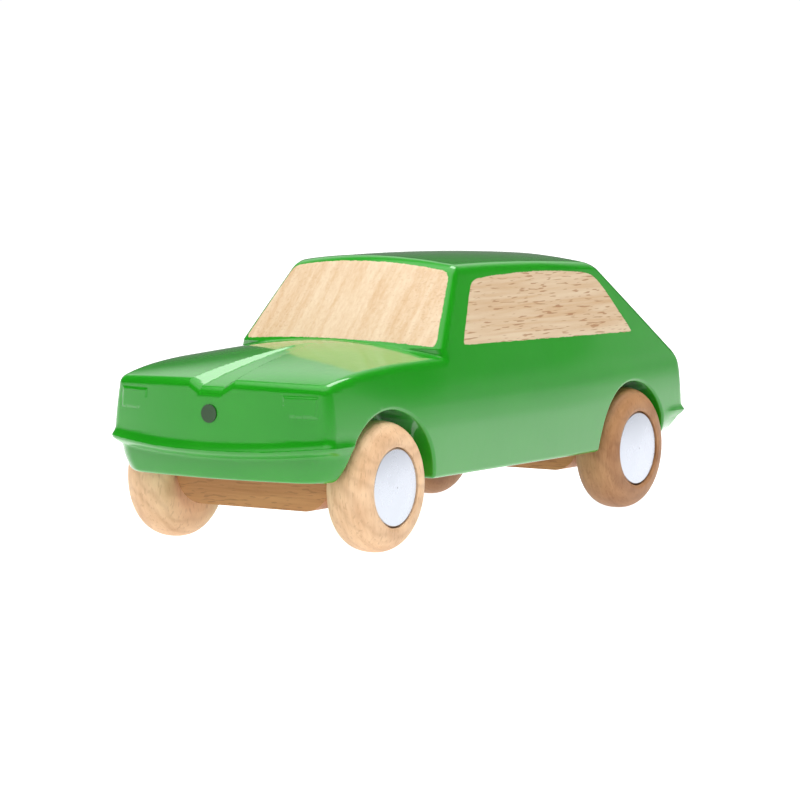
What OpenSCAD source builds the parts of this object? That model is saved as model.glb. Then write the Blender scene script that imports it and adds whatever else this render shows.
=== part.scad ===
// Pull back car: a painted solid-wood fastback on four turned wooden wheels,
// driven by a wind-up spring motor over the rear axle.
// +Z up, front towards -Y, origin under the middle of the car on the floor.

/* [Overall] */
// distance between the two axles
wheelbase = 96; // [90:1:102]
// how far the axles' midpoint sits ahead of the car's middle
axle_shift = 1.5; // [0:0.1:3]
// height of the flat underside of the body
sill_z = 13.3; // [12:0.1:15]
// half width of the body at mid length
body_half = 28.1; // [26:0.1:30]

/* [Cabin] */
// half width of the cabin at the belt line
belt_half = 24.8; // [23:0.1:27]
// inward lean of the cabin sides, mm per mm of height
cabin_lean = 0.31; // [0.2:0.005:0.5]
// top of the roof
roof_z = 56.2; // [54:0.1:60]

/* [Wheels] */
// radius of a wheel
wheel_r = 13; // [12:0.1:14]
// thickness of a wheel
wheel_w = 10; // [9:0.1:11]
// wheel mid plane from the centre line
wheel_x = 24; // [23:0.1:26]
// radius of the metal hub cap
cap_r = 7.8; // [6:0.1:9]
// radius of the steel axles
axle_r = 1.5; // [1:0.05:2]

/* [Arches] */
// radius of the front wheel arches
front_arch_r = 15.1; // [14:0.1:16]
// radius of the rear wheel arches
rear_arch_r = 14.3; // [13.8:0.1:16]

/* [Axle blocks] */
// half length of an axle block across the car
block_half = 18.4; // [17:0.1:18.6]
// half width of an axle block along the car
block_w = 8; // [7:0.1:9]
// underside of an axle block
block_z = 8; // [7:0.1:9]

/* [Motor] */
// half width of the motor case
case_half = 11; // [10:0.1:12]
// wall of the motor case
case_wall = 1.2; // [1:0.1:2]
// tooth module of the motor's gears
tooth_m = 0.5; // [0.5:0.05:0.6]
// teeth on the two small gears
small_teeth = 10; // [10:1:12]
// teeth on the two large gears
large_teeth = 30; // [28:1:32]

/* [Part] */
// which piece to draw, or all of them

/* [Hidden] */
front_y = -wheelbase / 2 - axle_shift;
rear_y = wheelbase / 2 - axle_shift;
mid = 49.4;
// how far the panel under the front bumper ridge is set back
valance_set = 1.0;
// the front arches are cut slightly behind the axle
arch_shift = 0.7;
badge_r = 1.8;
badge_z = 27.8;
mesh_d = tooth_m * (small_teeth + large_teeth) / 2;
// the gear train leans forward and up from the rear axle
to_idler = 100;
to_barrel = 178;
idler_y = rear_y + mesh_d * cos(to_idler);
idler_z = wheel_r + mesh_d * sin(to_idler);
barrel_y = idler_y + mesh_d * cos(to_barrel);
barrel_z = idler_z + mesh_d * sin(to_barrel);
// case screws: offsets from the rear axle, and heights
case_pins = [[-18.9, 30.3], [-18.9, 16.1], [5.3, 30.3]];
// ears of the motor case, from the rear axle
ear_y = -23.7;
green = [0.25, 0.62, 0.22];
beech = [0.82, 0.62, 0.42];
steel = [0.72, 0.73, 0.75];
bright = [0.88, 0.89, 0.91];
nylon = [0.93, 0.93, 0.90];
case_grey = [0.30, 0.34, 0.40];
gear_cream = [0.90, 0.88, 0.80];

// ---------- shape of the body ----------

// intersection of two regions with a rounded edge, inside is negative
function meet(a, b, r) = min(-r, max(a, b)) + norm([max(r + a, 0), max(r + b, 0)]);
// union of two regions with a rounded hollow corner
function fuse(a, b, r) = max(r, min(a, b)) - norm([max(r - a, 0), max(r - b, 0)]);
// smooth step from 0 to 1
function ramp(t) = let (c = min(1, max(0, t))) c * c * (3 - 2 * c);

// bumper ridge round the ends: crest at height zr, hollow above it and a step below it
function ridge(z, zr, out, rise, drop) =
    let (above = pow(min(1, max(0, (zr + rise - z) / rise)), 2.2),
        below = min(1, max(0, (z - zr + drop) / drop)))
    out * min(above, below);
// the front ridge dips a little towards the middle of the car
function nose_crest(x) = 20.6 + 0.0022 * x * x;
function nose_ridge(x, z) = ridge(z, nose_crest(x), 0.85, 1.9, 1.5);
function tail_ridge(z) = ridge(z, 19.7, 1.2, 1.7, 1.5);

// side of the body: half width at station s (from the front axle) and height z,
// a parabola up to the point where it reaches the lean of the cabin, then straight
function side_half(s, z) =
    let (nose = max(0, (22 - s) / 40), tail = max(0, (s - 62) / 55),
        shrink = 0.0125 - 0.0045 * ramp((s - 60) / 40) - 0.0045 * ramp((12 - s) / 30),
        tuck = 0.010 + 0.070 * ramp((-6 - s) / 12) + 0.08 * ramp((s - 106) / 11),
        up = max(0, z - 21), turn = cabin_lean / 2 / shrink)
    body_half - 1.8 * pow(nose, 2) - 0.9 * pow(tail, 2)
        - shrink * pow(min(up, turn), 2) - cabin_lean * max(0, up - turn)
        - tuck * pow(max(0, 21 - z), 2)
        + nose_ridge(25, z) * 0.45 * ramp((-8 - s) / 7) + tail_ridge(z) * 0.4 * ramp((s - 108) / 7);

// side of the cabin, leaning inwards
function cabin_half(s, z) =
    belt_half - cabin_lean * (z - 38.3) - 0.9 * pow(max(0, (s - 62) / 55), 2)
        - 0.5 * max(0, (22 - s) / 40);

// bowed front face, tucked under below the bumper
function front_face(x, z) =
    -22.9 + 0.0058 * x * x + 0.06 * (z - 27.6) + valance_set * ramp((nose_crest(x) - 0.3 - z) / 1.7)
        + 0.02 * pow(max(0, 20 - z), 2)
        - nose_ridge(x, z);

// bowed tail face, tucked under below the bumper
function tail_face(x, z) =
    120.8 - 0.0032 * x * x - 0.05 * (z - 31) - 0.16 * pow(max(0, 19 - z), 2)
        - 0.7 * ramp((19.4 - z) / 1.6) + tail_ridge(z);

// bonnet with a shallow channel that fades out towards the windscreen
function bonnet(x, s) =
    let (f = min(1, max(0, (s + 23) / 36)), half = 2.7 - 1.7 * f, deep = 1.5 * (1 - f) + 0.001,
        cut = deep * min(1, max(0, (half + 1.8 * deep - abs(x)) / (1.8 * deep))))
    34.1 + 3.7 * (1 - exp(-max(0, s + 22.8 - 0.0058 * x * x) / 13)) - 0.0009 * x * x
        + 0.0038 * ramp((s + 20) / 40) * (552 - x * x) - cut;

// windscreen plane, bowed, standing on a small upright step over the bonnet
function screen_face(x, z) = 19.3 + (max(z, 38.6) - 39.9) * 0.91 + 0.0085 * x * x;
function roof_top(x, s) =
    roof_z - 0.0045 * x * x - 0.0007 * pow(max(0, s - 42), 2) - 0.0006 * pow(min(0, s - 42), 2);
function slope_back(x, s, z) = ((s - 90.6) * 23 + (z - 54.6) * 30) / 37.8 + 0.0012 * x * x;

// the underside steps up under the nose and the tail
function sill(s) = sill_z + 1.6 * ramp((-6 - s) / 7) + 1.5 * ramp((s - 100) / 8);

// the whole body, negative inside
function body_f(x, y, z) =
    let (s = y + mid, w = abs(x),
        cabin = meet((screen_face(x, z) - s) * 0.74, z - roof_top(x, s), 1.5),
        top = fuse(z - bonnet(x, s), cabin, 0.4),
        sides = meet(w - side_half(s, z), (w - cabin_half(s, z)) * 0.945, 0.5),
        ends = meet(meet(sides, front_face(x, z) - s, 1.6 + 3.0 * ramp((21.6 - z) / 2.2)),
            s - tail_face(x, z), 2.0))
    meet(meet(meet(ends, top, 1.4), slope_back(x, s, z), 2.3), sill(s) - z, 0.8);

// each station is a bowed sheet, so that the bowed nose and tail stay crisp
stations = [-22.2, -21.2, -19.8, -17, -14, -10.5, -5, 3, 11, 15.8, 17, 18.2, 20.4, 23, 26, 29,
    32.4, 35.2, 38.5, 46, 56, 66, 76, 84, 88, 91.5, 96, 102, 108, 112.5, 116.2, 118.6, 120];
function bow(s) = s < 40 ? 0.0058 : 0.0058 - 0.0090 * min(1, (s - 40) / 70);
function core_z(s) =
    s < -10 ? 21.8 : s < 12 ? 21.8 + (s + 10) * 0.12 : s < 30 ? 24.4 + (s - 12) * 0.24
    : s < 80 ? 28.8 : s < 112 ? 28.8 - (s - 80) * 0.2625 : 20.4;
// upper corner of a section: height of the bonnet, screen, roof or slope near the side
function corner_z(s) =
    let (h = bonnet(24, s + 3), screen = 39.9 + (s + bow(s) * 420 - 22.9) / 0.91,
        slope = 54.2 - (s + bow(s) * 420 - 90.2) * 23 / 30)
    min(max(h, min(screen, roof_top(18, s))), slope);
function upper_turn(s) =
    let (z = corner_z(s), x = z > 38.5 ? min(cabin_half(s, z), side_half(s, z)) : side_half(s, z))
    atan2(x - 0.5, z - core_z(s) - 0.4);
function lower_turn(s) = 90 + atan2(core_z(s) - sill(s), side_half(s, sill(s)));
// spokes round half a section, as fractions between top, corner, bumper crest, corner and bottom
half_spokes = [0, 0.25, 0.45, 0.62, 0.76, 0.87, 0.94, 1, 1.06, 1.14, 1.26, 1.42, 1.58, 1.72, 1.83, 1.92,
    2, 2.1, 2.28, 2.5, 2.7, 2.86, 2.95, 3.02, 3.1, 3.25, 3.55];
function spoke_angle(s, u) =
    u < 1 ? u * upper_turn(s) : u < 2 ? upper_turn(s) + (u - 1) * (90 - upper_turn(s))
    : u < 3 ? 90 + (u - 2) * (lower_turn(s) - 90) : lower_turn(s) + (u - 3) * (180 - lower_turn(s));
spokes = concat(half_spokes, [4], [for (i = [len(half_spokes) - 1:-1:1]) -half_spokes[i]]);
function spoke(s, a, r) =
    let (x = r * sin(a)) [x, s + bow(s) * x * x - mid, core_z(s) + r * cos(a)];
function edge_r(s, a, lo, hi, n) =
    n == 0 ? (lo + hi) / 2 :
    let (m = (lo + hi) / 2, p = spoke(s, a, m))
    body_f(p[0], p[1], p[2]) < 0 ? edge_r(s, a, m, hi, n - 1) : edge_r(s, a, lo, m, n - 1);
function level(p) = abs(p[2] - sill(p[1] + mid)) < 0.02 ? [p[0], p[1], sill(p[1] + mid)] : p;
function ring(s) = [for (u = spokes)
    let (a = sign(u) * spoke_angle(s, abs(u))) level(spoke(s, a, edge_r(s, a, 1, 45, 20)))];
// find the end face along Y under a point of the section
function end_y(x, z, lo, hi, n) =
    n == 0 ? (lo + hi) / 2 :
    let (m = (lo + hi) / 2)
    body_f(x, m, z) < 0 ? end_y(x, z, m, hi, n - 1) : end_y(x, z, lo, m, n - 1);
function cap_ring(base, zc, k, far) = [for (p = base)
    let (x = p[0] * k, z = zc + (p[2] - zc) * k) [x, end_y(x, z, p[1], far, 16), z]];

function quads(n, i) = [for (j = [0:n - 1])
    let (a = i * n + j, b = i * n + (j + 1) % n) each [[a, b, a + n], [b, b + n, a + n]]];

module body_block() {
    n = len(spokes);
    first = ring(stations[0]);
    last = ring(stations[len(stations) - 1]);
    zf = core_z(stations[0]);
    zt = core_z(stations[len(stations) - 1]);
    nose = [for (k = [0.15, 0.35, 0.55, 0.75, 0.9, 0.97]) cap_ring(first, zf, k, -mid - 30)];
    tail = [for (k = [0.97, 0.9, 0.75, 0.55, 0.35, 0.15]) cap_ring(last, zt, k, mid + 80)];
    rings = concat(nose, [for (s = stations) ring(s)], tail);
    pts = [for (r = rings) each r];
    m = len(rings);
    tip_a = [0, end_y(0, zf, first[0][1], -mid - 30, 16), zf];
    tip_b = [0, end_y(0, zt, last[0][1], mid + 80, 16), zt];
    faces = concat(
        [for (i = [0:m - 2]) each quads(n, i)],
        [for (j = [0:n - 1]) [(j + 1) % n, j, n * m]],
        [for (j = [0:n - 1]) [(m - 1) * n + j, (m - 1) * n + (j + 1) % n, n * m + 1]]);
    polyhedron(concat(pts, [tip_a, tip_b]), faces, convexity = 6);
}

// lying cylinder along X
module rod(x0, x1, y, z, r) {
    translate([x0, y, z])
        rotate([0, 90, 0])
            cylinder(h = x1 - x0, r = r, $fn = 64);
}

module body() {
    color(green)
    difference() {
        body_block();
        // wheel wells
        for (side = [-1, 1]) {
            x0 = side > 0 ? 18.7 : -40;
            x1 = side > 0 ? 40 : -18.7;
            rod(x0, x1, front_y + arch_shift, wheel_r, front_arch_r);
            rod(x0, x1, rear_y, wheel_r, rear_arch_r);
        }
        // slots for the two axle blocks
        for (y = [front_y, rear_y])
            translate([-19, y - block_w - 0.1, 0])
                cube([38, 2 * block_w + 0.2, 19.1]);
        // room for the motor
        translate([-case_half - 0.6, rear_y - 21.7, 0])
            cube([2 * case_half + 1.2, 29.9, 33.3]);
        // ledge and pilot holes for the ears of the motor case
        translate([-case_half - 0.6, rear_y - 26.8, 0])
            cube([2 * case_half + 1.2, 6, 15.1]);
        for (x = [-6.5, 6.5])
            translate([x, rear_y + ear_y, 14])
                cylinder(h = 9, r = 0.9, $fn = 32);
        // pilot holes for the wood screws
        for (x = [-14.8, 14.8], y = [front_y, rear_y])
            translate([x, y + 5.2, 18])
                cylinder(h = 7.6, r = 0.9, $fn = 32);
        // seat of the nose badge
        translate([0, front_face(0, badge_z) - mid + 0.3, badge_z])
            rotate([90, 0, 0])
                cylinder(h = 3, r = badge_r, $fn = 48);
    }
}

module nose_badge() {
    color([0.12, 0.25, 0.12])
        translate([0, front_face(0, badge_z) - mid + 0.3, badge_z])
            rotate([90, 0, 0])
                cylinder(h = 0.55, r = badge_r, $fn = 48);
}

// beech block across the car, lower corners rounded, bored for the axle bushes
module axle_block(y) {
    c = 6;
    difference() {
        intersection() {
            translate([-block_half, y - block_w, block_z])
                cube([2 * block_half, 2 * block_w, 19 - block_z]);
            translate([0, y + block_w + 1, 0])
                rotate([90, 0, 0])
                    linear_extrude(2 * block_w + 2)
                        union() {
                            for (x = [-1, 1])
                                translate([x * (block_half - c), block_z + c])
                                    circle(r = c, $fn = 64);
                            translate([-block_half + c, block_z])
                                square([2 * (block_half - c), 12]);
                            translate([-block_half, block_z + c])
                                square([2 * block_half, 12]);
                        }
        }
        rod(-20, 20, y, wheel_r, 2.5);
        for (x = [-14.8, 14.8])
            translate([x, y + 5.2, 0]) {
                translate([0, 0, 5])
                    cylinder(h = 15, r = 0.9, $fn = 32);
                translate([0, 0, 5])
                    cylinder(h = 5, r = 2.1, $fn = 32);
                translate([0, 0, 10])
                    cylinder(h = 1.4, r1 = 1.9, r2 = 0.9, $fn = 32);
            }
    }
}

module front_axle_block() {
    color(beech)
        axle_block(front_y);
}

module rear_axle_block() {
    color(beech)
    difference() {
        axle_block(rear_y);
        translate([-case_half - 0.2, rear_y - 6, 0])
            cube([2 * case_half + 0.4, 12, 20]);
        translate([-case_half - 0.2, rear_y - 9, 13.4])
            cube([2 * case_half + 0.4, 18, 8]);
    }
}

// nylon bush in the block, running on the axle
module bush(y, x0, x1) {
    color(nylon)
    difference() {
        rod(x0, x1, y, wheel_r, 2.5);
        rod(x0 - 1, x1 + 1, y, wheel_r, axle_r + 0.05);
    }
}
module front_bush_left() { bush(front_y, 8.4, block_half); }
module front_bush_right() { bush(front_y, -block_half, -8.4); }
module rear_bush_left() { bush(rear_y, case_half + 0.2, block_half); }
module rear_bush_right() { bush(rear_y, -block_half, -case_half - 0.2); }

module axle(y) {
    color(steel)
        rod(-wheel_x - 2.8, wheel_x + 2.8, y, wheel_r, axle_r);
}
module front_axle() { axle(front_y); }
module rear_axle() { axle(rear_y); }

// thin washers that keep the wheels off the block
module spacers(y) {
    color(nylon)
    for (x = [-19.1, 18.6])
        difference() {
            rod(x, x + 0.5, y, wheel_r, 2.6);
            rod(x - 1, x + 2, y, wheel_r, axle_r);
        }
}
module front_spacers() { spacers(front_y); }
module rear_spacers() { spacers(rear_y); }

// turned wheel: rounded like a ring, with a recess for the cap in its outer face
module wheel(y, side) {
    color(beech)
    translate([side * wheel_x, y, wheel_r])
        rotate([0, side * 90, 0])
            rotate_extrude($fn = 96)
                polygon(concat(
                    [[axle_r, -wheel_w / 2 + 0.1], [3.2, -wheel_w / 2 + 0.1],
                        [3.5, -wheel_w / 2 + 0.7], [6.9, -wheel_w / 2 + 0.15]],
                    [for (i = [0:28])
                        let (a = -90 + i * 6.25)
                        [wheel_r - 5 + 5 * full(cos(a)), wheel_w / 2 * full(sin(a))]],
                    [[cap_r + 0.2, wheel_w / 2 - 0.2], [cap_r + 0.2, 2.8], [axle_r, 2.8]]));
}
// pushes a sine or cosine outwards, for a section between an ellipse and a rounded square
function full(c) = sign(c) * pow(abs(c), 0.82);
module wheel_front_left() { wheel(front_y, 1); }
module wheel_front_right() { wheel(front_y, -1); }
module wheel_rear_left() { wheel(rear_y, 1); }
module wheel_rear_right() { wheel(rear_y, -1); }

// pressed metal cap, slightly domed, on the floor of the recess
module hub_cap(y, side) {
    color(bright)
    translate([side * wheel_x, y, wheel_r])
        rotate([0, side * 90, 0])
            rotate_extrude($fn = 96)
                polygon(concat([[0, 2.8], [cap_r, 2.8], [cap_r, 4.3]],
                    [for (i = [0:10])
                        let (r = (cap_r - 0.25) * (1 - i / 10))
                        [r, 4.55 + 0.5 * (1 - pow(r / cap_r, 2))]]));
}
module hub_cap_front_left() { hub_cap(front_y, 1); }
module hub_cap_front_right() { hub_cap(front_y, -1); }
module hub_cap_rear_left() { hub_cap(rear_y, 1); }
module hub_cap_rear_right() { hub_cap(rear_y, -1); }

// ---------- motor ----------

// outline of the case in the Y-Z plane, grown or shrunk by g
module case_outline(g) {
    translate([-21.2 - g, 13.6 - g])
        square([28.9 + 2 * g, 19.2 + 2 * g]);
    translate([-5.8 - g, 8.8 - g])
        square([11.6 + 2 * g, 8 + 2 * g]);
}
module case_slab(x0, x1, g) {
    translate([x0, rear_y, 0])
        rotate([90, 0, 90])
            linear_extrude(x1 - x0)
                case_outline(g);
}
module motor_case(side) {
    x0 = side > 0 ? 0 : -case_half;
    difference() {
        union() {
            difference() {
                case_slab(x0, x0 + case_half, 0);
                case_slab(side > 0 ? -1 : -case_half + case_wall,
                    side > 0 ? case_half - case_wall : 1, -case_wall);
            }
            // bosses round the case screws
            for (p = case_pins)
                rod(x0, x0 + case_half, rear_y + p[0], p[1], 1.35);
            // ear for the screw that holds the motor to the body
            translate([side * 6.5 - 3.5, rear_y - 26.4, 13.6])
                cube([7, 5.4, 1.4]);
        }
        rod(-20, 20, rear_y, wheel_r, axle_r + 0.05);
        rod(-20, 20, idler_y, idler_z, 0.8);
        rod(-20, 20, barrel_y, barrel_z, 1.2);
        for (p = case_pins)
            rod(-20, 20, rear_y + p[0], p[1], 0.7);
        translate([side * 6.5, rear_y + ear_y, 10])
            cylinder(h = 8, r = 0.9, $fn = 32);
    }
}
module motor_case_left() {
    color(case_grey)
        motor_case(1);
}
module motor_case_right() {
    color(case_grey)
        motor_case(-1);
}
// through pins with a flat head that clamp the two halves
module case_screws() {
    color(steel)
    for (p = case_pins) {
        rod(-case_half, case_half, rear_y + p[0], p[1], 0.7);
        rod(case_half, case_half + 0.4, rear_y + p[0], p[1], 1.3);
    }
}

// half angle of a tooth at radius r, for an involute of base radius b
function inv(a) = tan(a) * 180 / PI - a;
function tooth_half(r, p, b, t) = t / (2 * p) * 180 / PI + inv(acos(b / p)) - (r > b ? inv(acos(b / r)) : 0);
// flat gear outline: pressure angle 25 degrees, short teeth, thinned for running clearance
module gear_outline(n, turn) {
    p = n * tooth_m / 2;
    b = p * cos(25);
    t = PI * tooth_m / 2 - 0.14;
    tip = p + 0.8 * tooth_m;
    root = p - 1.05 * tooth_m;
    levels = [root, max(root + 0.05, b), p, (p + tip) / 2, tip];
    rotate(turn)
        polygon([for (i = [0:n - 1])
            let (c = i * 360 / n)
            each concat(
                [for (k = [0:4]) let (r = levels[k], h = tooth_half(r, p, b, t))
                    r * [cos(c - h), sin(c - h)]],
                [for (k = [4:-1:0]) let (r = levels[k], h = tooth_half(r, p, b, t))
                    r * [cos(c + h), sin(c + h)]])]);
}
// gear between x0 and x1 round an axis along X; turn is counted from +Y towards +Z
module gear(x0, x1, y, z, n, turn) {
    translate([x0, y, z])
        rotate([90, 0, 90])
            linear_extrude(x1 - x0)
                gear_outline(n, turn);
}

module axle_pinion() {
    color(gear_cream)
    difference() {
        union() {
            gear(2, 6, rear_y, wheel_r, small_teeth, to_idler);
            rod(-2, 2, rear_y, wheel_r, 2.6);
        }
        rod(-5, 10, rear_y, wheel_r, axle_r);
    }
}

module idler_gear() {
    // a gap of the large wheel faces the axle pinion
    turn = to_idler + 180 + 180 / large_teeth;
    color(gear_cream)
    difference() {
        union() {
            gear(2.5, 5.5, idler_y, idler_z, large_teeth, turn);
            gear(-3.6, 2.5, idler_y, idler_z, small_teeth, to_barrel);
        }
        rod(-5, 7, idler_y, idler_z, 0.85);
    }
}
module idler_shaft() {
    color(steel)
        rod(-case_half, case_half, idler_y, idler_z, 0.8);
}

// drum that holds the mainspring, with the drive teeth on its rim
module spring_barrel() {
    turn = to_barrel + 180 + 180 / large_teeth;
    color(gear_cream)
    difference() {
        union() {
            gear(-3.3, -0.3, barrel_y, barrel_z, large_teeth, turn);
            rod(-9.4, -3.3, barrel_y, barrel_z, 7.1);
        }
        rod(-10, -2.1, barrel_y, barrel_z, 6.4);
        rod(-10, 2, barrel_y, barrel_z, 1.25);
    }
}
// flat strip wound into a spiral
function coil_point(t, r) = [r * cos(360 * t), r * sin(360 * t)];
module mainspring() {
    turns = 5;
    strip = 0.3;
    r0 = 2.2;
    pitch = (6.4 - strip - r0) / turns;
    steps = 20 * turns;
    inner = [for (i = [0:steps]) let (t = i / 20) coil_point(t, r0 + pitch * t)];
    outer = [for (i = [steps:-1:0]) let (t = i / 20) coil_point(t, r0 + strip + pitch * t)];
    color([0.35, 0.37, 0.42])
    translate([-8.9, barrel_y, barrel_z])
        rotate([90, 0, 90])
            linear_extrude(6.2)
                polygon(concat(inner, outer));
}
module barrel_arbor() {
    color(steel)
        rod(-case_half, case_half, barrel_y, barrel_z, 1.2);
}

// wood screw pointing up, with a cross recess in its head
module wood_screw(x, y, z, len) {
    translate([x, y, z])
    difference() {
        union() {
            cylinder(h = len, r = 0.9, $fn = 32);
            cylinder(h = 1.4, r1 = 1.9, r2 = 0.9, $fn = 32);
        }
        for (a = [0, 90])
            rotate(a)
                translate([-1.2, -0.2, -0.1])
                    cube([2.4, 0.4, 0.7]);
    }
}
module block_screws(y) {
    color(steel)
    for (x = [-14.8, 14.8])
        wood_screw(x, y + 5.2, 10, 15);
}
module front_block_screws() { block_screws(front_y); }
module rear_block_screws() { block_screws(rear_y); }
module motor_screws() {
    color(steel)
    for (x = [-6.5, 6.5])
        translate([x, rear_y + ear_y, 13.6])
            pan_screw(9);
}
// screw pointing up, its flat head below the ear it holds
module pan_screw(len) {
    cylinder(h = len, r = 0.9, $fn = 32);
    difference() {
        translate([0, 0, -1])
            cylinder(h = 1, r = 1.9, $fn = 32);
        for (a = [0, 90])
            rotate(a)
                translate([-1.2, -0.2, -1.1])
                    cube([2.4, 0.4, 0.7]);
    }
}

body();
nose_badge();
front_axle_block();
rear_axle_block();
front_bush_left();
front_bush_right();
rear_bush_left();
rear_bush_right();
front_axle();
rear_axle();
front_spacers();
rear_spacers();
wheel_front_left();
wheel_front_right();
wheel_rear_left();
wheel_rear_right();
hub_cap_front_left();
hub_cap_front_right();
hub_cap_rear_left();
hub_cap_rear_right();
motor_case_left();
motor_case_right();
case_screws();
axle_pinion();
idler_gear();
idler_shaft();
spring_barrel();
mainspring();
barrel_arbor();
motor_screws();
front_block_screws();
rear_block_screws();
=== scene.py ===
"""Looks for the pull back car: painted beech body, turned wheels and axle blocks, on the CAD frame."""
import math
import bmesh
import bpy
import numpy as np
from mathutils import Euler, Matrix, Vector


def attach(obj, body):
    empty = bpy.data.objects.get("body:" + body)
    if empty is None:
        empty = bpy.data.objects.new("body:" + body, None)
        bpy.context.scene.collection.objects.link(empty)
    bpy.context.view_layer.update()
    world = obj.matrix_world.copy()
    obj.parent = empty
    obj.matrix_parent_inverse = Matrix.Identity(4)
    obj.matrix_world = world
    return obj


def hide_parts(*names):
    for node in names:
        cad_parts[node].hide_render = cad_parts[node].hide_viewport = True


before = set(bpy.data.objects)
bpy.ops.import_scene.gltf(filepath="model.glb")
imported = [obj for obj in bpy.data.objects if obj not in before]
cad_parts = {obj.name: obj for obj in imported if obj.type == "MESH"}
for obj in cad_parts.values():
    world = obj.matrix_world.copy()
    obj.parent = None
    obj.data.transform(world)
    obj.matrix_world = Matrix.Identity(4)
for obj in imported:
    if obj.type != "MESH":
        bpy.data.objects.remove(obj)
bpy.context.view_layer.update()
MM = 0.001

# ---------- driving dimensions, in millimetres ----------
MID = 49.4            # s, the distance along the body, starts this far ahead of the origin
FRONT_AXLE = -49.5
REAR_AXLE = 46.5
WHEEL_R = 13.0
FRONT_ARCH_R = 15.1
REAR_ARCH_R = 14.3
ARCH_SHIFT = 0.7      # the front arches are cut slightly behind the axle
ARCH_INNER = 18.7     # the arches reach in to this half width
LEAN = 0.31           # how far the cabin sides lean in, per unit of height
BELT_HALF = 28.1      # half width of the body at its widest, at height BELT
BELT = 21
CABIN_HALF = 24.8     # half width of the cabin at height CABIN_FOOT
CABIN_FOOT = 38.3
NOSE = -22.9          # s of the nose and of the tail, on the middle line
TAIL = 120.8
NOSE_CREST = 20.6     # height of the bumper ridges, on the middle line
TAIL_CREST = 19.7
CREST_RISE = 0.0022   # the front ridge rises towards the sides by this, times x squared
BONNET = 34.1
SILL = 13.3
ROOF = 56.2
ROOF_BOW = 0.0045     # bows: a surface falls back by this, times x squared
NOSE_BOW = 0.0058
SCREEN_BOW = 0.0085
SCREEN_FOOT = (19.3, 39.9)    # s and height of a point low on the windscreen
SCREEN_RAKE = 0.91    # how far the windscreen leans back, per unit of height
LAMP = (19.75, 29.8)  # middle of a headlamp field: out from the middle line, and height
LAMP_HALF = (3.4, 1.9)
LAMP_RAISE = 0.25
LAMP_EDGE = 0.5
SLOT_HALF = (19, 8.1)         # slot for an axle block: half its length and half its width
SLOT_TOP = 19.1
MOTOR_HALF = 11.6
MOTOR_ROOM = (-21.7, 8.2, 33.3)      # along the body from the rear axle: start, end, and top
MOTOR_LEDGE = (-26.8, -20.8, 15.1)
ARCH_EDGE = 0.7       # rounding of the arches, of their inner corners and of the slots
ARCH_CORNER = 0.6
SLOT_EDGE = 0.3


# ---------- body: one rounded block, written as a function that is negative inside ----------

def meet(a, b, r):
    """Intersection of two shapes with an outer edge of radius r."""
    round_off = np.sqrt(np.maximum(r + a, 0) ** 2 + np.maximum(r + b, 0) ** 2)
    return np.minimum(-r, np.maximum(a, b)) + round_off


def fuse(a, b, r):
    """Union of two shapes with an inner edge of radius r."""
    round_off = np.sqrt(np.maximum(r - a, 0) ** 2 + np.maximum(r - b, 0) ** 2)
    return np.maximum(r, np.minimum(a, b)) - round_off


def ramp(t):
    """Smooth step from 0 to 1."""
    t = np.clip(t, 0, 1)
    return t * t * (3 - 2 * t)


def ridge(z, crest, height, above, below):
    """Bumper ridge: how far it stands out at height z."""
    rise = np.clip((crest + above - z) / above, 0, 1) ** 2.2
    fall = np.clip((z - crest + below) / below, 0, 1)
    soft = 0.3    # rounds the crest
    near = np.maximum(soft - abs(rise - fall), 0) / soft
    return height * np.maximum(0, np.minimum(rise, fall) - near * near * soft / 4)


def nose_ridge(x, z):
    """The front ridge dips a little towards the middle of the car."""
    return ridge(z, NOSE_CREST + CREST_RISE * x * x, 0.85, 1.9, 1.5)


def tail_ridge(z):
    return ridge(z, TAIL_CREST, 1.2, 1.7, 1.5)


def to_nose(s):
    """Grows from 0 near the windscreen's foot to about 1.1 at the nose."""
    return np.maximum(0, (22 - s) / 40)


def to_tail(s):
    """Grows from 0, some way behind mid length, to about 1.1 at the tail."""
    return np.maximum(0, (s - 62) / 55)


def side_half(s, z):
    """Half width of the body below the cabin."""
    shrink = 0.0125 - 0.0045 * ramp((s - 60) / 40) - 0.0045 * ramp((12 - s) / 30)
    tuck = 0.010 + 0.070 * ramp((-6 - s) / 12) + 0.08 * ramp((s - 106) / 11)
    up = np.maximum(0, z - BELT)
    down = np.maximum(0, BELT - z)
    turn = LEAN / 2 / shrink
    half = BELT_HALF - 1.8 * to_nose(s) ** 2 - 0.9 * to_tail(s) ** 2 - tuck * down ** 2
    half = half - shrink * np.minimum(up, turn) ** 2 - LEAN * np.maximum(0, up - turn)
    half = half + nose_ridge(25, z) * 0.45 * ramp((-8 - s) / 7)
    return half + tail_ridge(z) * 0.4 * ramp((s - 108) / 7)


def bonnet(x, s):
    """Height of the bonnet, with the channel that fades towards the windscreen."""
    fade = np.clip((s + 23) / 36, 0, 1)
    half = 2.7 - 1.7 * fade
    deep = 1.5 * (1 - fade) + 0.001
    cut = deep * np.clip((half + 1.8 * deep - abs(x)) / (1.8 * deep), 0, 1)
    rise = 3.7 * (1 - np.exp(-np.maximum(0, s + 22.8 - NOSE_BOW * x * x) / 13))
    crown = 0.0038 * ramp((s + 20) / 40) * (552 - x * x)
    return BONNET + rise - 0.0009 * x * x + crown - cut


def headlamp_pads(x, z):
    """How far the shallow raised headlamp fields stand out."""
    across = abs(abs(x) - LAMP[0]) - LAMP_HALF[0]
    upright = abs(z - LAMP[1]) - LAMP_HALF[1]
    return LAMP_RAISE * ramp(0.5 - np.maximum(across, upright) / LAMP_EDGE)


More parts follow.
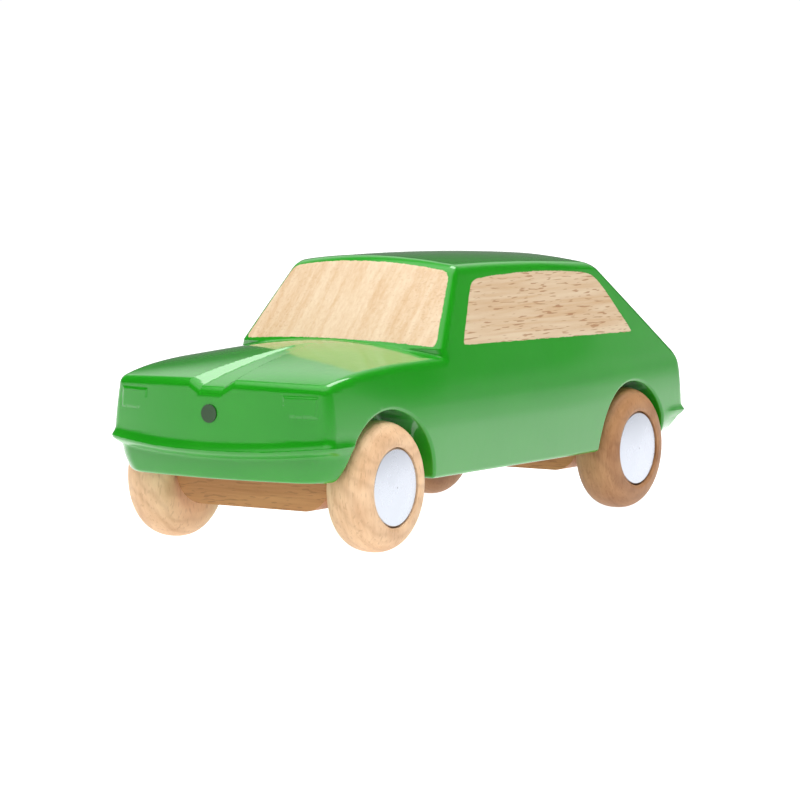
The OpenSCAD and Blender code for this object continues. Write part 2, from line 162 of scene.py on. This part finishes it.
def outer_skin(x, y, z):
    """The body without its wheel wells and slots; negative inside."""
    s = y + MID
    wide = abs(x)
    x2 = x * x
    cabin_half = CABIN_HALF - LEAN * (z - CABIN_FOOT) - 0.9 * to_tail(s) ** 2 - 0.5 * to_nose(s)
    # nose and tail faces, stepped back and tucked in below their ridges
    front = NOSE + NOSE_BOW * x2 + 0.06 * (z - 27.6)
    front = front + ramp((NOSE_CREST - 0.3 + CREST_RISE * x2 - z) / 1.7)
    front = front + 0.02 * np.maximum(0, 20 - z) ** 2 - nose_ridge(x, z) - headlamp_pads(x, z)
    back = TAIL - 0.0032 * x2 - 0.05 * (z - 31) - 0.16 * np.maximum(0, 19 - z) ** 2
    back = back - 0.7 * ramp((TAIL_CREST - 0.3 - z) / 1.6) + tail_ridge(z)
    # cabin: windscreen, roof and sloping back
    screen = SCREEN_FOOT[0] + (np.maximum(z, 38.6) - SCREEN_FOOT[1]) * SCREEN_RAKE + SCREEN_BOW * x2
    ahead = np.minimum(0, s - 42)
    behind = np.maximum(0, s - 42)
    roof = ROOF - ROOF_BOW * x2 - 0.0007 * behind ** 2 - 0.0006 * ahead ** 2
    slope = ((s - 90.6) * 23 + (z - 54.6) * 30) / 37.8 + 0.0012 * x2
    cabin = meet((screen - s) * 0.74, z - roof, 1.5)
    top = fuse(z - bonnet(x, s), cabin, 0.4)
    # all of them met, each with the rounding of its edge
    d = meet(wide - side_half(s, z), (wide - cabin_half) * 0.945, 0.5)
    d = meet(d, front - s, 1.6 + 3.0 * ramp((21.6 - z) / 2.2))
    d = meet(d, s - back, 2.0)
    d = meet(d, top, 1.4)
    d = meet(d, slope, 2.3)
    sill = SILL + 1.6 * ramp((-6 - s) / 7) + 1.5 * ramp((s - 100) / 8)
    return meet(d, sill - z, 0.8)


def box_gap(x, y, z, low, high):
    """Distance to a box, negative inside it."""
    dx = np.maximum(low[0] - x, x - high[0])
    dy = np.maximum(low[1] - y, y - high[1])
    dz = np.maximum(low[2] - z, z - high[2])
    return np.maximum(np.maximum(dx, dy), dz)


def body_shape(x, y, z):
    """The whole body; negative inside."""
    d = outer_skin(x, y, z)
    wide = abs(x)
    # wheel wells
    front_well = np.hypot(y - FRONT_AXLE - ARCH_SHIFT, z - WHEEL_R) - FRONT_ARCH_R
    rear_well = np.hypot(y - REAR_AXLE, z - WHEEL_R) - REAR_ARCH_R
    well = meet(np.minimum(front_well, rear_well), ARCH_INNER - wide, ARCH_CORNER)
    d = meet(d, -well, ARCH_EDGE)
    # slots for the axle blocks, and room for the motor
    across, along = SLOT_HALF
    for axle in (FRONT_AXLE, REAR_AXLE):
        slot = box_gap(x, y, z, (-across, axle - along, 0), (across, axle + along, SLOT_TOP))
        d = meet(d, -slot, SLOT_EDGE)
    motor = [box_gap(x, y, z, (-MOTOR_HALF, REAR_AXLE + start, 0), (MOTOR_HALF, REAR_AXLE + end, top))
             for start, end, top in (MOTOR_ROOM, MOTOR_LEDGE)]
    return meet(d, -np.minimum(*motor), SLOT_EDGE)


def gradient(f, p, e=0.02):
    """Slope of f at the points p."""
    g = np.empty_like(p)
    for k in range(3):
        step = np.zeros(3)
        step[k] = e
        ahead = p + step
        behind = p - step
        g[:, k] = (f(*ahead.T) - f(*behind.T)) / (2 * e)
    return g


def settle(f, p, turns=5):
    """Moves the points p onto the surface f = 0."""
    for _ in range(turns):
        g = gradient(f, p)
        step = f(*p.T)[:, None] * g / np.maximum((g * g).sum(1), 0.2)[:, None]
        length = np.linalg.norm(step, axis=1, keepdims=True)
        p = p - step * np.minimum(1, 0.4 / np.maximum(length, 1e-9))
    return p


def surface_net(f, low, high, h):
    """Quads over the surface f = 0, one point in each grid cell that it crosses."""
    axes = [np.arange(a, b + h, h) for a, b in zip(low, high)]
    grid = np.meshgrid(*axes, indexing="ij")
    value = f(*grid)
    inside = value < 0
    shape = np.array(value.shape) - 1
    total = np.zeros((*shape, 3))
    count = np.zeros(shape)
    corners = [np.array([a, b, c]) for a in (0, 1) for b in (0, 1) for c in (0, 1)]
    for i, a in enumerate(corners):
        for b in corners[i + 1:]:
            if abs(b - a).sum() != 1:
                continue
            pick_a = tuple(slice(o, o + n) for o, n in zip(a, shape))
            pick_b = tuple(slice(o, o + n) for o, n in zip(b, shape))
            crossed = inside[pick_a] != inside[pick_b]
            va = value[pick_a][crossed]
            t = va / (va - value[pick_b][crossed])
            total[crossed] += a + t[:, None] * (b - a)
            count[crossed] += 1
    used = count > 0
    where = np.argwhere(used)
    points = np.array(low) + (where + total[used] / count[used][:, None]) * h
    number = np.full(shape, -1)
    number[used] = np.arange(len(points))
    quads = []
    for k in range(3):
        u, v = [(1, 2), (2, 0), (0, 1)][k]
        first = [slice(None)] * 3
        second = [slice(None)] * 3
        first[k] = slice(0, -1)
        second[k] = slice(1, None)
        change = inside[tuple(first)].astype(int) - inside[tuple(second)].astype(int)
        at = np.argwhere(change)
        ok = (at[:, u] > 0) & (at[:, v] > 0) & (at[:, u] < shape[u]) & (at[:, v] < shape[v])
        at = at[ok]
        leaving = change[tuple(at.T)] > 0
        ring = []
        for du, dv in ((-1, -1), (0, -1), (0, 0), (-1, 0)):
            cell = at.copy()
            cell[:, u] += du
            cell[:, v] += dv
            ring.append(number[tuple(cell.T)])
        ring = np.array(ring).T
        ring[~leaving] = ring[~leaving][:, ::-1]
        quads.append(ring)
    return points, np.concatenate(quads)


def refine(mesh, f, normals, bend):
    """Splits the faces whose corner normals differ by more than bend degrees, then settles every point."""
    bm = bmesh.new()
    bm.from_mesh(mesh)
    bm.verts.ensure_lookup_table()
    limit = math.cos(math.radians(bend))
    sharp = []
    for face in bm.faces:
        n = normals[[v.index for v in face.verts]]
        if (n @ n.T).min() < limit:
            sharp.append(face)
    edges = list({e for face in sharp for e in face.edges})
    bmesh.ops.subdivide_edges(bm, edges=edges, cuts=1, use_grid_fill=True)
    bm.to_mesh(mesh)
    bm.free()
    return place_points(mesh, f)


def place_points(mesh, f):
    """Settles every point of a mesh and returns the surface normals there."""
    co = np.empty(len(mesh.vertices) * 3)
    mesh.vertices.foreach_get("co", co)
    p = settle(f, co.reshape(-1, 3) / MM)
    mesh.vertices.foreach_set("co", (p * MM).ravel())
    mesh.update()
    g = gradient(f, p)
    return g / np.linalg.norm(g, axis=1, keepdims=True)


def add_mesh(name, points, faces, body):
    """A mesh object, given in millimetres, that rides a CAD body."""
    mesh = bpy.data.meshes.new(name)
    corners = [tuple(p * MM) for p in np.asarray(points)]
    mesh.from_pydata(corners, [], [tuple(int(i) for i in q) for q in faces])
    obj = bpy.data.objects.new(name, mesh)
    bpy.context.scene.collection.objects.link(obj)
    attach(obj, body)
    return obj


CELL = 0.8               # grid step of the body's first mesh
BENDS = ((14, 20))       # each round of splitting: its bend, in degrees
BODY_LOW = (-30, -75, 12)                       # corners of a box around the body
BODY_HIGH = (30, 75.4, 57.5)


def make_body():
    points, quads = surface_net(body_shape, BODY_LOW, BODY_HIGH, CELL)
    obj = add_mesh("painted_body", points, quads, "car")
    normals = place_points(obj.data, body_shape)
    for bend in BENDS:
        normals = refine(obj.data, body_shape, normals, bend)
    obj.data.shade_smooth()
    obj.data.normals_split_custom_set_from_vertices([tuple(n) for n in normals])
    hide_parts("body")
    return obj


# ---------- node helpers ----------

class Value:
    """A number in a node tree, so that formulas can be written as formulas."""

    def __init__(self, tree, socket):
        self.tree = tree
        self.socket = socket

    def make(self, operation, *inputs):
        node = self.tree.nodes.new("ShaderNodeMath")
        node.operation = operation
        for slot, item in zip(node.inputs, (self, *inputs)):
            if isinstance(item, Value):
                self.tree.links.new(item.socket, slot)
            else:
                slot.default_value = item
        return Value(self.tree, node.outputs[0])

    def __add__(self, other):
        return self.make("ADD", other)

    def __sub__(self, other):
        return self.make("SUBTRACT", other)

    def __mul__(self, other):
        return self.make("MULTIPLY", other)

    def __abs__(self):
        return self.make("ABSOLUTE")

    def power(self, other):
        return self.make("POWER", other)

    def rounded_max(self, other, width):
        return self.make("SMOOTH_MAX", other, width)

    def step(self, low, high):
        """0 at low and 1 at high, smooth between; low may be the larger one."""
        node = self.tree.nodes.new("ShaderNodeMapRange")
        node.interpolation_type = "SMOOTHSTEP"
        node.inputs["From Min"].default_value = low
        node.inputs["From Max"].default_value = high
        self.tree.links.new(self.socket, node.inputs["Value"])
        return Value(self.tree, node.outputs["Result"])


class Look:
    """A material under construction, with object coordinates in millimetres."""

    def __init__(self, name):
        self.material = bpy.data.materials.new(name)
        self.material.use_nodes = True
        self.tree = self.material.node_tree
        self.tree.nodes.clear()
        self.output = self.tree.nodes.new("ShaderNodeOutputMaterial")
        place = self.tree.nodes.new("ShaderNodeTexCoord")
        scale = self.tree.nodes.new("ShaderNodeVectorMath")
        scale.operation = "SCALE"
        scale.inputs["Scale"].default_value = 1 / MM
        self.tree.links.new(place.outputs["Object"], scale.inputs[0])
        self.place = scale.outputs[0]
        split = self.tree.nodes.new("ShaderNodeSeparateXYZ")
        self.tree.links.new(self.place, split.inputs[0])
        self.x, self.y, self.z = (Value(self.tree, split.outputs[k]) for k in range(3))
        self.normal = place.outputs["Normal"]

    def facing_x(self):
        """1 where the surface faces left, -1 where it faces right."""
        split = self.tree.nodes.new("ShaderNodeSeparateXYZ")
        self.tree.links.new(self.normal, split.inputs[0])
        return Value(self.tree, split.outputs[0])

    def moved(self, scale, shift=(0, 0, 0)):
        node = self.tree.nodes.new("ShaderNodeMapping")
        node.inputs["Scale"].default_value = scale
        node.inputs["Location"].default_value = shift
        self.tree.links.new(self.place, node.inputs["Vector"])
        return node.outputs[0]

    def noise(self, where, detail=3.0, rough=0.5, warp=0.0):
        node = self.tree.nodes.new("ShaderNodeTexNoise")
        node.inputs["Scale"].default_value = 1.0
        node.inputs["Detail"].default_value = detail
        node.inputs["Roughness"].default_value = rough
        node.inputs["Distortion"].default_value = warp
        self.tree.links.new(where, node.inputs["Vector"])
        return Value(self.tree, node.outputs["Fac"])

    def colours(self, value, stops):
        node = self.tree.nodes.new("ShaderNodeValToRGB")
        ramp_stops = node.color_ramp.elements
        while len(ramp_stops) < len(stops):
            ramp_stops.new(0.5)
        for element, (at, colour) in zip(ramp_stops, stops):
            element.position = at
            element.color = (*colour, 1)
        self.tree.links.new(value.socket, node.inputs["Fac"])
        return node.outputs["Color"]

    def blend(self, share, varied, plain):
        """Mixes a varied colour, where share is 0, with one plain colour, where it is 1."""
        node = self.tree.nodes.new("ShaderNodeMix")
        node.data_type = "RGBA"
        factor, first, second = (node.inputs[k] for k in (0, 6, 7))
        self.tree.links.new(share.socket, factor)
        self.tree.links.new(varied, first)
        second.default_value = (*plain, 1)
        return node.outputs[2]

    def bump(self, height, distance):
        node = self.tree.nodes.new("ShaderNodeBump")
        node.inputs["Distance"].default_value = distance * MM
        self.tree.links.new(height.socket, node.inputs["Height"])
        return node.outputs[0]

    def shader(self, colour, normal=None, **settings):
        node = self.tree.nodes.new("ShaderNodeBsdfPrincipled")
        if isinstance(colour, tuple):
            node.inputs["Base Color"].default_value = (*colour, 1)
        else:
            self.tree.links.new(colour, node.inputs["Base Color"])
        for name, value in settings.items():
            slot = node.inputs[name.replace("_", " ")]
            if isinstance(value, Value):
                self.tree.links.new(value.socket, slot)
            else:
                slot.default_value = value
        if normal is not None:
            self.tree.links.new(normal, node.inputs["Normal"])
        return node.outputs[0]

    def finish(self, shader):
        self.tree.links.new(shader, self.output.inputs["Surface"])
        return self.material


def srgb(r, g, b):
    """A colour from its 0 to 255 display values."""
    def linear(v):
        v = v / 255
        return v / 12.92 if v <= 0.04045 else ((v + 0.055) / 1.055) ** 2.4
    return (linear(r), linear(g), linear(b))


# ---------- materials ----------

def beech_colour(look, colours, band, fibres, flecks, shift=(0, 0, 0), fleck_share=0.6):
    """Beech with growth bands, fine fibres and short brown flecks.

    fibres and flecks say how fast each varies along x, y and z, per millimetre.
    """
    pale, dark, fleck = colours
    fibre = look.noise(look.moved(fibres, shift), 4.0, 0.6)
    cell = look.noise(look.moved(flecks, shift), 1.0, 0.4)
    tone = band * 0.65 + fibre * 0.4
    base = look.colours(tone, [(0.38, dark), (0.66, pale)])
    specks = cell.step(0.60, 0.68) * fleck_share
    return look.blend(specks, base, fleck), fibre, specks


def paint_parts(look):
    """Green lacquer: a deep even colour with the grain just felt through the coats."""
    cloud = look.noise(look.moved((0.05, 0.03, 0.05)), 2.0)
    colour = look.colours(cloud, [(0.3, srgb(14, 147, 8)), (0.7, srgb(28, 155, 18))])
    grain = look.noise(look.moved((0.9, 0.07, 0.9)), 3.0, 0.55)
    peel = look.noise(look.moved((0.35, 0.35, 0.35)), 1.0)
    normal = look.bump(grain * 0.6 + peel, 0.03)
    return look.shader(colour, normal, Roughness=0.34, IOR=1.45, Specular_IOR_Level=0.2,
                       Coat_Weight=1.0, Coat_IOR=1.55, Coat_Roughness=0.06)


# corners of the windows: out from the middle line or s, and height
SCREEN_CORNER = (22.9, 39.8)
SIDE_FRONT = (31.6, 39.06)
SIDE_REAR = (99.1, 39.1)
SIDE_LOW = (31.6, 38.95)
SCREEN_LOW, SCREEN_HIGH = 40.05, 55.1
SIDE_HIGH = 52.2
REAR_LOW, REAR_HIGH = 41.0, 51.4


def past_line(run, height, at, lean):
    """How far outside a slanted edge: it passes through at, and leans in by lean per unit of height."""
    return (run + height * lean - (at[0] + at[1] * lean)) * (1 / math.hypot(1, lean))


def window_masks(look):
    """About how far outside the windscreen, side and rear windows, in mm; negative inside."""
    s = look.y + MID
    across = abs(look.x)
    x2 = look.x * look.x
    screen_side = past_line(across, look.z, SCREEN_CORNER, 0.29)
    screen_low = x2 * -0.0021 + SCREEN_LOW - look.z
    screen_high = look.z - SCREEN_HIGH + x2 * ROOF_BOW
    screen = screen_side.rounded_max(screen_low, 1.8).rounded_max(screen_high, 2.4)
    # the mask ends just behind the windscreen's face, so that nothing further back is bare
    skin = 2.6
    face = SCREEN_FOOT[1] * SCREEN_RAKE - SCREEN_FOOT[0] - skin
    screen = screen.rounded_max(s + look.z * -SCREEN_RAKE + x2 * -SCREEN_BOW + face, 0.1)
    low = (s - SIDE_LOW[0]) * -0.0175 + SIDE_LOW[1] - look.z
    high = look.z - SIDE_HIGH + (s - 60) * (s - 60) * 0.0017
    left = past_line(s * -1, look.z, (-SIDE_FRONT[0], SIDE_FRONT[1]), 0.722)
    right = past_line(s, look.z, SIDE_REAR, 0.782)
    side = high.rounded_max(right, 5.0).rounded_max(left, 3.0).rounded_max(low, 1.6)
    side = side.rounded_max(across * -1 + 17.0, 0.1)
    rear = (across + look.z * 0.15 - 24.6).rounded_max(look.z * -1 + REAR_LOW, 3.0)
    rear = rear.rounded_max(look.z - REAR_HIGH, 3.0).rounded_max(s * -1 + 90.0, 0.1)
    return screen, side, rear


def body_look():
    look = Look("lacquer_and_beech")
    screen, side, rear = window_masks(look)
    fuzz = look.noise(look.moved((1.1, 0.5, 1.1)), 4.0, 0.7)
    nearest = screen.make("MINIMUM", side).make("MINIMUM", rear)
    edge = nearest + (fuzz - 0.5) * 0.5
    bare = (edge * -1).step(-0.08, 0.08)
    tones = (srgb(225, 202, 171), srgb(208, 173, 133), srgb(160, 102, 54))
    sideways = abs(look.facing_x())
    front_band = look.noise(look.moved((0.42, 0.010, 0.05)), 2.0, 0.5, 0.5)
    side_band = look.noise(look.moved((0.10, 0.020, 0.55)), 2.0, 0.5, 0.8)
    band = side_band * sideways + front_band * (sideways * -1 + 1)
    colour, fibres, specks = beech_colour(look, tones, band, (1.8, 0.07, 0.9), (1.6, 0.24, 2.9),
                                          fleck_share=sideways * 0.62 + 0.05)
    wood_normal = look.bump(fibres - specks * 0.4, 0.05)
    wood = look.shader(colour, wood_normal, Roughness=0.55)
    mix = look.tree.nodes.new("ShaderNodeMixShader")
    look.tree.links.new(bare.socket, mix.inputs[0])
    look.tree.links.new(paint_parts(look), mix.inputs[1])
    look.tree.links.new(wood, mix.inputs[2])
    return look.finish(mix.outputs[0])


def wheel_look(name, tones, shift):
    """Turned beech: the growth rings cut the wheel as flat arcs, with weak flecks between them."""
    look = Look(name)
    flow = look.noise(look.moved((0.12, 0.06, 0.12), shift), 2.0, 0.5)
    across = look.x * 0.8 + look.z * 0.25 + look.z * look.z * 0.012 + flow * 9
    rings = (across * 2.4).make("SINE") * 0.5 + 0.5
    band = look.noise(look.moved((0.22, 0.05, 0.12), shift), 2.0, 0.5, 0.5)
    colour, fibres, specks = beech_colour(look, tones, band, (2.4, 0.5, 0.3), (2.2, 2.2, 0.6), shift, 0.25)
    colour = look.blend(rings.power(2.0) * 0.2, colour, tones[2])
    normal = look.bump(fibres - specks * 0.3, 0.04)
    return look.finish(look.shader(colour, normal, Roughness=0.5))


def block_look():
    look = Look("block_beech")
    tones = (srgb(214, 150, 96), srgb(184, 118, 68), srgb(142, 86, 46))
    band = look.noise(look.moved((0.012, 0.2, 0.2)), 2.0, 0.5, 0.5)
    colour, fibres, specks = beech_colour(look, tones, band, (0.08, 2.2, 2.2), (0.4, 2.3, 2.3),
                                          fleck_share=0.4)
    normal = look.bump(fibres - specks * 0.4, 0.05)
    return look.finish(look.shader(colour, normal, Roughness=0.5))


def cap_look():
    look = Look("bright_cap")
    haze = look.noise(look.moved((0.25, 0.25, 0.25)), 2.0)
    brushed = look.noise(look.moved((0.5, 0.5, 6.0)), 2.0)
    rough = haze * 0.12 + 0.22
    normal = look.bump(brushed, 0.0015)
    return look.finish(look.shader(srgb(198, 202, 211), normal, Metallic=1.0, Roughness=rough))


def plain_look(name, colour, **settings):
    look = Look(name)
    haze = look.noise(look.moved((0.4, 0.4, 0.4)), 3.0)
    dim = tuple(0.86 * c for c in colour)
    tint = look.colours(haze, [(0.35, dim), (0.65, colour)])
    normal = look.bump(haze, 0.02)
    return look.finish(look.shader(tint, normal, **settings))


def paint_cad():
    """Gives every CAD node that stays in view its material."""
    steel = plain_look("steel", srgb(190, 192, 194), Metallic=1.0, Roughness=0.3)
    nylon = plain_look("nylon", srgb(232, 230, 222), Roughness=0.45, Subsurface_Weight=0.1)
    case = plain_look("case_plastic", srgb(58, 62, 70), Roughness=0.4)
    gear = plain_look("gear_plastic", srgb(236, 232, 220), Roughness=0.35)
    spring = plain_look("spring_steel", srgb(120, 124, 134), Metallic=1.0, Roughness=0.28)
    badge = plain_look("badge_print", srgb(38, 72, 36), Roughness=0.35)
    looks = {"badge": badge, "steel": steel, "nylon": nylon, "case_plastic": case,
             "gear_plastic": gear, "spring_steel": spring, "beech": block_look(), "cap_metal": cap_look()}
    pale = (srgb(251, 212, 170), srgb(229, 184, 140), srgb(176, 124, 82))
    brown = (srgb(190, 140, 95), srgb(160, 109, 68), srgb(130, 82, 47))
    wheels = {"wheel_front_left": wheel_look("pale_wheel_left", pale, (0, 0, 0)),
              "wheel_front_right": wheel_look("pale_wheel_right", pale, (13, 5, 9)),
              "wheel_rear_left": wheel_look("brown_wheel_left", brown, (26, 10, 18)),
              "wheel_rear_right": wheel_look("brown_wheel_right", brown, (39, 15, 27))}
    for node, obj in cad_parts.items():
        slot = obj.data.materials[0].name
        if slot in looks:
            obj.data.materials[0] = wheels.get(node, looks[slot])


# ---------- camera, light and floor ----------

CAMERA_AT = (481.44, -752.74, 103.92)      # millimetres, fitted to the photo with the next three
CAMERA_AHEAD = (-0.5385, 0.8380, -0.0877)
CAMERA_ROLL = 0.2366                       # degrees
CAMERA_LENS = 193.05
FLOOR_GREY = 0.35
FLOOR_GLOW = 1.05                          # to the eye and in gloss
FLOOR_GLOW_CUT = 0.30                      # how much less of it falls on matt surfaces


def make_camera():
    data = bpy.data.cameras.new("camera")
    data.sensor_width = 36
    data.lens = CAMERA_LENS
    camera = bpy.data.objects.new("camera", data)
    bpy.context.scene.collection.objects.link(camera)
    camera.location = Vector(CAMERA_AT) * MM
    ahead = Vector(CAMERA_AHEAD)
    look = ahead.to_track_quat("-Z", "Y").to_matrix().to_4x4()
    roll = Euler((0, 0, math.radians(CAMERA_ROLL))).to_matrix().to_4x4()
    camera.rotation_euler = (look @ roll).to_euler()
    data.clip_start = 0.01
    data.clip_end = 20
    bpy.context.scene.camera = camera


def area_light(name, at, aim, size, power):
    """A soft rectangular light; places and sizes in metres, power in watts."""
    data = bpy.data.lights.new(name, "AREA")
    data.shape = "RECTANGLE"
    data.size = size[0]
    data.size_y = size[1]
    data.energy = power
    obj = bpy.data.objects.new(name, data)
    obj.location = at
    obj.rotation_euler = (Vector(aim) - Vector(at)).to_track_quat("-Z", "Y").to_euler()
    bpy.context.scene.collection.objects.link(obj)
    return obj


def floor_look():
    """Plain white floor that glows, and glows less in the light that it throws on matt surfaces."""
    look = Look("floor_white")
    path = look.tree.nodes.new("ShaderNodeLightPath")
    thrown = Value(look.tree, path.outputs["Is Diffuse Ray"])
    glow = thrown * -FLOOR_GLOW_CUT + FLOOR_GLOW
    return look.finish(look.shader((FLOOR_GREY, FLOOR_GREY, FLOOR_GREY), Roughness=0.9,
                                   Emission_Color=(1, 1, 1, 1), Emission_Strength=glow))


def make_stage():
    mesh = bpy.data.meshes.new("floor")
    bm = bmesh.new()
    bmesh.ops.create_grid(bm, x_segments=1, y_segments=1, size=30)
    bm.to_mesh(mesh)
    bm.free()
    floor = bpy.data.objects.new("floor", mesh)
    bpy.context.scene.collection.objects.link(floor)
    mesh.materials.append(floor_look())
    make_world()
    overhead = area_light("overhead", (0.0, -0.1, 1.1), (0, 0, 0.02), (1.3, 1.3), 19)
    overhead.visible_glossy = False
    fill = area_light("front_fill", (0.5, -1.3, 0.6), (0, 0, 0.03), (0.8, 0.8), 1.5)
    fill.visible_glossy = False
    area_light("back_strip", (-0.12, 0.75, 1.07), (0, 0, 0.03), (0.5, 0.34), 2.2)
    bpy.context.scene.view_settings.view_transform = "Standard"


def make_world():
    """White surroundings: one strength for the eye, another for matt surfaces, and a pattern for gloss.

    In gloss there is a bright band low down, two patches behind the car and a bright ceiling.
    The pattern is fixed in the world, and was placed for the photo's viewing angle.
    """
    world = bpy.data.worlds.new("studio")
    world.use_nodes = True
    bpy.context.scene.world = world
    tree = world.node_tree
    background = tree.nodes["Background"]
    place = tree.nodes.new("ShaderNodeTexCoord")
    split = tree.nodes.new("ShaderNodeSeparateXYZ")
    tree.links.new(place.outputs["Generated"], split.inputs[0])
    x, y, z = (Value(tree, split.outputs[k]) for k in range(3))
    low = z.step(0.26, -0.03)
    # beyond the car, as the photo sees it
    behind = (x * -0.54 + y * 0.84).step(0.55, 0.97)
    # a small patch that shows on the rear quarter
    rear_glow = (x * 0.31 + y * 0.95).step(0.94, 0.985) * z.step(0.12, 0.20) * z.step(0.45, 0.30)
    back_glow = behind * z.step(0.25, 0.41) * z.step(0.8, 0.5)
    ceiling = z.step(0.72, 0.92)
    band = low * (behind * -0.85 + 1)
    seen_in_gloss = band * 1.1 + rear_glow * 0.5 + back_glow * 0.8
    seen_in_gloss = seen_in_gloss + ceiling * 1.2 + 0.05
    path = tree.nodes.new("ShaderNodeLightPath")
    gloss = Value(tree, path.outputs["Is Glossy Ray"])
    camera = Value(tree, path.outputs["Is Camera Ray"])
    for_matt = 0.38
    for_eye = 1.03
    plain = camera * (for_eye - for_matt) + for_matt
    strength = seen_in_gloss * gloss + (gloss * -1 + 1) * plain
    tree.links.new(strength.socket, background.inputs["Strength"])
    background.inputs["Color"].default_value = (1, 1, 1, 1)


make_camera()
make_stage()
body = make_body()
body.data.materials.append(body_look())
paint_cad()
